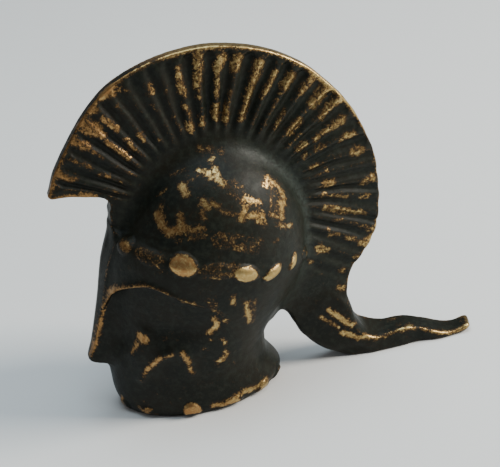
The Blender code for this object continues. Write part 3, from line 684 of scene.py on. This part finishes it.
def near_grid():
    """Field on the grid, worked out only near the skin: a grid four times coarser says where
    the skin can be, and the rest keeps the coarse value."""
    rough = [axis[::COARSER] for axis in (grid_x, grid_y, grid_z)]
    coarse = casting_field(*(a.ravel() for a in np.meshgrid(*rough, indexing="ij")))
    coarse = coarse.reshape([len(a) for a in rough])
    near = np.abs(coarse) < CELL * COARSER * 1.4
    fine_shape = [len(grid_x), len(grid_y), len(grid_z)]
    spots = [np.minimum(np.rint(np.arange(n) / COARSER).astype(int), len(a) - 1)
             for n, a in zip(fine_shape, rough)]
    field = coarse[np.ix_(*spots)]
    wanted = near[np.ix_(*spots)]
    i, j, k = np.nonzero(wanted)
    field[i, j, k] = casting_field(grid_x[i], grid_y[j], grid_z[k])
    return field


def uncross(field):
    """Where the signs at the corners of a cell's face stand crosswise, two sheets of the net
    would share an edge, so the emptier pair's nearer corner is made solid by a hair."""
    for _ in range(5):
        for axis in range(3):
            u, v = (side for side in range(3) if side != axis)
            corners = []
            for du, dv in ((0, 0), (1, 0), (1, 1), (0, 1)):
                part = [slice(None)] * 3
                part[u] = slice(du, field.shape[u] - 1 + du)
                part[v] = slice(dv, field.shape[v] - 1 + dv)
                corners.append(field[tuple(part)] < 0.0)
            one, two, three, four = corners
            spots = np.stack(np.nonzero((one == three) & (two == four) & (one != two)), axis=1)
            for spot in spots:
                square = []
                for du, dv in ((0, 0), (1, 0), (1, 1), (0, 1)):
                    corner = spot.copy()
                    corner[u] += du
                    corner[v] += dv
                    square.append(tuple(corner))
                empty = [corner for corner in square if field[corner] >= 0.0]
                if empty:
                    field[min(empty, key=lambda corner: field[corner])] = -0.01
    return field


def net_over(field):
    """Closed mesh over the zero level of a field on the grid: one corner in each cell that the
    level crosses, at the mean of its edge crossings, and one quad round each crossed edge."""
    solid = field < 0.0
    count = np.zeros([n - 1 for n in field.shape], np.int8)
    corners = [(a, b, c) for a in (0, 1) for b in (0, 1) for c in (0, 1)]
    nx, ny, nz = count.shape
    for a, b, c in corners:
        count += solid[a:a + nx, b:b + ny, c:c + nz]
    mixed = (count > 0) & (count < 8)
    cells = np.stack(np.nonzero(mixed), axis=1)
    number = np.full(count.shape, -1)
    number[mixed] = np.arange(len(cells))
    total, hits = np.zeros((len(cells), 3)), np.zeros(len(cells))
    for axis in range(3):
        for corner in corners:
            if corner[axis]:
                continue
            first = cells + corner
            second = first + np.eye(3, dtype=int)[axis]
            low, high = field[tuple(first.T)], field[tuple(second.T)]
            crossed = (low < 0.0) != (high < 0.0)
            part = np.where(crossed, low / np.where(crossed, low - high, 1.0), 0.0)
            place = first + part[:, None] * np.eye(3)[axis]
            total += np.where(crossed[:, None], place, 0.0)
            hits += crossed
    places = total / hits[:, None] * CELL + (grid_x[0], grid_y[0], grid_z[0])
    quads = []
    for axis in range(3):
        u, v = (axis + 1) % 3, (axis + 2) % 3
        inner = [slice(1, -1)] * 3
        inner[axis] = slice(0, -1)
        upper = list(inner)
        upper[axis] = slice(1, None)
        low, high = solid[tuple(inner)], solid[tuple(upper)]
        for enters in (False, True):
            spot = np.stack(np.nonzero((low != high) & (low != enters)), axis=1)
            spot += [0 if a == axis else 1 for a in range(3)]
            ring = []
            for du, dv in ((0, 0), (1, 0), (1, 1), (0, 1)):
                cell = spot.copy()
                cell[:, u] -= du
                cell[:, v] -= dv
                ring.append(number[tuple(cell.T)])
            quads.append(np.stack(ring[::-1] if enters else ring, axis=1))
    return places, np.vstack(quads)


def slopes_at(places, step):
    """Field, its slope and its bending at points, from six neighbours at a step: each pair's
    difference over two steps, and the six less six middles over the square of the step."""
    middle = casting_field(*places.T)
    slope, total = np.zeros_like(places), 0.0
    for axis in range(3):
        shift = np.eye(3)[axis] * step
        ahead, behind = casting_field(*(places + shift).T), casting_field(*(places - shift).T)
        slope[:, axis] = (ahead - behind) / (2.0 * step)
        total = total + ahead + behind
    return middle, slope, (total - 6.0 * middle) / step**2


def settle(places, rounds):
    """Bring points onto the skin: each round moves them down the slope by the field over the
    slope's length, about 0.25 mm at most."""
    for _ in range(rounds):
        value, slope, _ = slopes_at(places, SETTLE_STEP)
        length = np.maximum(np.sum(slope * slope, axis=1), 0.2)
        move = np.clip(value / length, -0.25, 0.25)
        places = places - slope * move[:, None]
    return places


def mesh_of(name, places, faces):
    """Mesh in metres from corner places in mm and faces of equal size."""
    mesh = bpy.data.meshes.new(name)
    mesh.vertices.add(len(places))
    mesh.vertices.foreach_set("co", (places / 1000.0).astype(np.float32).ravel())
    mesh.loops.add(faces.size)
    mesh.loops.foreach_set("vertex_index", faces.astype(np.int32).ravel())
    mesh.polygons.add(len(faces))
    starts = np.arange(0, faces.size, faces.shape[1], dtype=np.int32)
    mesh.polygons.foreach_set("loop_start", starts)
    mesh.update(calc_edges=True)
    return mesh


skin, quads = net_over(uncross(near_grid()))
skin = settle(skin, 2)
rough_mesh = mesh_of("net", skin, quads)
rough = bpy.data.objects.new("net", rough_mesh)
bpy.context.scene.collection.objects.link(rough)

thin = rough.modifiers.new("thin", "DECIMATE")
thin.ratio = min(1.0, TRIANGLES / (2.0 * len(quads)))
thin.use_collapse_triangulate = True
bpy.context.view_layer.update()
mesh = bpy.data.meshes.new_from_object(rough.evaluated_get(bpy.context.evaluated_depsgraph_get()))
bpy.data.objects.remove(rough)
places = np.zeros(len(mesh.vertices) * 3, np.float32)
mesh.vertices.foreach_get("co", places)
places = settle(places.reshape(-1, 3).astype(float) * 1000.0, 2)
places[:, 2] = np.maximum(places[:, 2], 0.0)
mesh.vertices.foreach_set("co", (places / 1000.0).astype(np.float32).ravel())
_, normals, bend = slopes_at(places, NORMAL_STEP)
normals /= np.linalg.norm(normals, axis=1)[:, None]
mesh.polygons.foreach_set("use_smooth", np.ones(len(mesh.polygons), bool))
mesh.update()
mesh.normals_split_custom_set_from_vertices(normals.astype(np.float32))

worn = mesh.attributes.new("worn", "FLOAT", "POINT")
worn.data.foreach_set("value", wear_of(places, normals, bend).astype(np.float32))
# Pale grey-green share: a painted highlight for the lit band in the dome's crease, and a little
# dust on the back of the bowl
pale_sheen_dust = mesh.attributes.new("pale_sheen_dust", "FLOAT", "POINT")
pale_sheen_dust.data.foreach_set("value", sheen_dust_of(*places.T).astype(np.float32))

# Bare metal shows where the depth of wear and three noises, in these shares, pass the mark
BLOTCH_SHARE, RAGGED_SHARE, SPECK_SHARE, BARE_MARK = 0.5, 1.7, 0.9, 1.64
# Bare metal: redder and darker in front as painted shade, yellower and brighter behind as painted
# light from the right, paler in flecks that fade out toward the shaded front, dull where it is
# barely rubbed
SHADED_RED_BRASS, LIT_YELLOW_BRASS = (0.31, 0.160, 0.060, 1.0), (0.39, 0.265, 0.100, 1.0)
LIT_PALE_BRASS, DULL_BRASS = (0.49, 0.365, 0.155, 1.0), (0.150, 0.085, 0.034, 1.0)
# Patina: green-black and brown-black in clouds, greyer flecks, pale grey-green that is a painted
# highlight in the dome's crease and dust on the back, and brown beside the brass
GREEN_BLACK, BROWN_BLACK = (0.0046, 0.0058, 0.0036, 1.0), (0.0080, 0.0070, 0.0036, 1.0)
GREY_FLECK, SHEEN_DUST_COLOUR = (0.0130, 0.0150, 0.0100, 1.0), (0.026, 0.034, 0.028, 1.0)
BROWN_EDGE = (0.055, 0.028, 0.010, 1.0)

metal = bpy.data.materials.new("patinated_brass")
metal.use_nodes = True
nodes, links = metal.node_tree.nodes, metal.node_tree.links
shader = nodes["Principled BSDF"]


def plug(value, socket):
    """Put a number or colour on a socket, or link an output to it."""
    if isinstance(value, bpy.types.NodeSocket):
        links.new(value, socket)
    else:
        socket.default_value = value


def reckon(kind, first, second, third=0.0, clamp=False):
    """One step of arithmetic on the surface."""
    node = nodes.new("ShaderNodeMath")
    node.operation = kind
    node.use_clamp = clamp
    for value, socket in zip((first, second, third), node.inputs):
        plug(value, socket)
    return node.outputs[0]


def grain(scale, detail, rough=0.55, swirl=0.0):
    """Noise in the object's own mm, from 0 to 1: so many cells to the mm, layers and swirl."""
    node = nodes.new("ShaderNodeTexNoise")
    node.inputs["Distortion"].default_value = swirl
    node.inputs["Scale"].default_value = scale
    node.inputs["Detail"].default_value = detail
    node.inputs["Roughness"].default_value = rough
    links.new(in_mm.outputs[0], node.inputs["Vector"])
    return node.outputs[0]


def step_over(value, low, high):
    """Smooth step of a value from 0 at the low mark to 1 at the high one."""
    node = nodes.new("ShaderNodeMapRange")
    node.interpolation_type = "SMOOTHSTEP"
    plug(value, node.inputs["Value"])
    node.inputs["From Min"].default_value = low
    node.inputs["From Max"].default_value = high
    return node.outputs[0]


def blend(share, first, second):
    """Colour between two."""
    node = nodes.new("ShaderNodeMix")
    node.data_type = "RGBA"
    plug(share, node.inputs[0])
    plug(first, node.inputs[6])
    plug(second, node.inputs[7])
    return node.outputs[2]


place = nodes.new("ShaderNodeTexCoord")
in_mm = nodes.new("ShaderNodeVectorMath")
in_mm.operation = "SCALE"
in_mm.inputs["Scale"].default_value = 1000.0
links.new(place.outputs["Object"], in_mm.inputs[0])
bare, sheen_dust_input = (nodes.new("ShaderNodeAttribute") for _ in range(2))
bare.attribute_name, sheen_dust_input.attribute_name = "worn", "pale_sheen_dust"

blotch, ragged, speck = grain(0.5, 3.0), grain(1.5, 5.0, 0.66, 1.1), grain(4.2, 3.0, 0.6, 0.8)
edge = reckon("MULTIPLY_ADD", blotch, BLOTCH_SHARE, bare.outputs["Fac"])
edge = reckon("MULTIPLY_ADD", ragged, RAGGED_SHARE, edge)
edge = reckon("MULTIPLY_ADD", speck, SPECK_SHARE, edge)
edge = reckon("SUBTRACT", edge, BARE_MARK)
brass_share = step_over(edge, -0.02, 0.09)
halo = step_over(edge, -0.24, -0.01)

split = nodes.new("ShaderNodeSeparateXYZ")
links.new(in_mm.outputs[0], split.inputs[0])
# Front-to-back shift from darker red brass to brighter yellow and pale brass: painted shade on the
# front, painted light on the back, the side the lamp is on
behind = reckon("MULTIPLY_ADD", blotch, 10.0, split.outputs[0])
brass = blend(step_over(behind, -11.0, 1.0), SHADED_RED_BRASS, LIT_YELLOW_BRASS)
lit_pale_share = reckon("MULTIPLY", step_over(ragged, 0.42, 0.68), step_over(behind, -26.0, -2.0))
brass = blend(lit_pale_share, brass, LIT_PALE_BRASS)
brass = blend(step_over(edge, 0.03, 0.42), DULL_BRASS, brass)
patina = blend(step_over(grain(0.22, 3.0), 0.38, 0.62), GREEN_BLACK, BROWN_BLACK)
patina = blend(step_over(grain(1.3, 4.0, 0.65), 0.42, 0.70), patina, GREY_FLECK)
# Pale grey-green: a painted highlight for the lit band in the crease, and dust on the back of the
# bowl
sheen_dust_mix = reckon("MULTIPLY", sheen_dust_input.outputs["Fac"], step_over(ragged, 0.30, 0.70))
patina = blend(sheen_dust_mix, patina, SHEEN_DUST_COLOUR)
patina = blend(reckon("MULTIPLY", halo, 0.6), patina, BROWN_EDGE)
links.new(blend(brass_share, patina, brass), shader.inputs["Base Color"])
links.new(reckon("MULTIPLY_ADD", brass_share, 0.95, reckon("MULTIPLY", halo, 0.2), clamp=True),
          shader.inputs["Metallic"])
shader.inputs["Specular IOR Level"].default_value = 0.15
rough_patina = reckon("MULTIPLY_ADD", grain(0.9, 4.0), 0.26, 0.34)
rough_brass = reckon("MULTIPLY_ADD", speck, 0.24, 0.24)
mixed = reckon("SUBTRACT", rough_brass, rough_patina)
links.new(reckon("MULTIPLY_ADD", brass_share, mixed, rough_patina), shader.inputs["Roughness"])

height = reckon("MULTIPLY_ADD", brass_share, -0.45, reckon("MULTIPLY", ragged, 1.1))
height = reckon("MULTIPLY_ADD", speck, 0.5, height)
bump = nodes.new("ShaderNodeBump")
bump.inputs["Strength"].default_value = 0.55
bump.inputs["Distance"].default_value = 0.00006
links.new(height, bump.inputs["Height"])
links.new(bump.outputs[0], shader.inputs["Normal"])
mesh.materials.clear()
mesh.materials.append(metal)

helmet = bpy.data.objects.new("helmet", mesh)
bpy.context.scene.collection.objects.link(helmet)
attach(helmet, "root")
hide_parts("helmet_casting")


# Floor: a plain pale sheet under the casting, big enough to fill every view. It is not part of
# the object, only what it stands on.

floor_mesh = bpy.data.meshes.new("floor")
reach = 3.0
corners = [(-reach, -reach, 0), (reach, -reach, 0), (reach, reach, 0), (-reach, reach, 0)]
floor_mesh.from_pydata(corners, [], [(0, 1, 2, 3)])
floor = bpy.data.objects.new("floor", floor_mesh)
bpy.context.scene.collection.objects.link(floor)
pale = bpy.data.materials.new("pale_floor")
pale.use_nodes = True
pale.node_tree.nodes["Principled BSDF"].inputs["Base Color"].default_value = (0.72, 0.72, 0.71, 1)
pale.node_tree.nodes["Principled BSDF"].inputs["Roughness"].default_value = 0.9
floor_mesh.materials.append(pale)


# Light: a soft warm box halfway up on the right, a wide cool one overhead, and a dim, nearly
# white room all round.

# Place and width of each box in metres, its power in watts and its colour
SOFT_BOXES = (
    ("key", (0.44, -0.14, 0.32), 0.20, 4.7, (1.0, 0.95, 0.86)),
    ("overhead", (0.02, 0.03, 0.50), 0.42, 2.2, (0.74, 0.90, 1.0)),
)
casting_middle = Vector((-0.004, 0.0, 0.022))


def soft_box(name, place, size, power, colour):
    """Square area light that points at the casting's middle."""
    lamp = bpy.data.lights.new(name, "AREA")
    lamp.size = size
    lamp.energy = power
    lamp.color = colour
    item = bpy.data.objects.new(name, lamp)
    item.location = place
    aim = casting_middle - Vector(place)
    item.rotation_mode = "QUATERNION"
    item.rotation_quaternion = aim.to_track_quat("-Z", "Y")
    bpy.context.scene.collection.objects.link(item)


for row in SOFT_BOXES:
    soft_box(*row)

room = bpy.data.worlds.new("room")
room.use_nodes = True
room.node_tree.nodes["Background"].inputs["Color"].default_value = (0.93, 0.96, 1.0, 1.0)
room.node_tree.nodes["Background"].inputs["Strength"].default_value = 0.24
bpy.context.scene.world = room


# Camera: slightly left of square to the side, 28 degrees down, with a small roll. Its distance
# and lens are fitted to the outline in the photograph, which is 500 pixels wide.

azimuth, elevation, roll = (math.radians(v) for v in (-10.0, 28.0, -7.29))
distance, look_at = 0.220, Vector((-0.00252, 0.0, 0.02363))
focal_pixels, picture_width, sensor_width = 1510.0, 500.0, 36.0
back = Vector((
    math.sin(azimuth) * math.cos(elevation),
    -math.cos(azimuth) * math.cos(elevation),
    math.sin(elevation),
))
level = Vector((math.cos(azimuth), math.sin(azimuth), 0.0))
upward = back.cross(level)
turned_right = math.cos(roll) * level + math.sin(roll) * upward
turned_up = -math.sin(roll) * level + math.cos(roll) * upward
lens = bpy.data.cameras.new("camera")
lens.sensor_width = sensor_width
lens.lens = focal_pixels * sensor_width / picture_width
lens.clip_start = 0.001
camera = bpy.data.objects.new("camera", lens)
stand = Matrix((turned_right, turned_up, back)).transposed().to_4x4()
stand.translation = look_at + distance * back
camera.matrix_world = stand
bpy.context.scene.collection.objects.link(camera)
bpy.context.scene.camera = camera

bpy.context.view_layer.update()
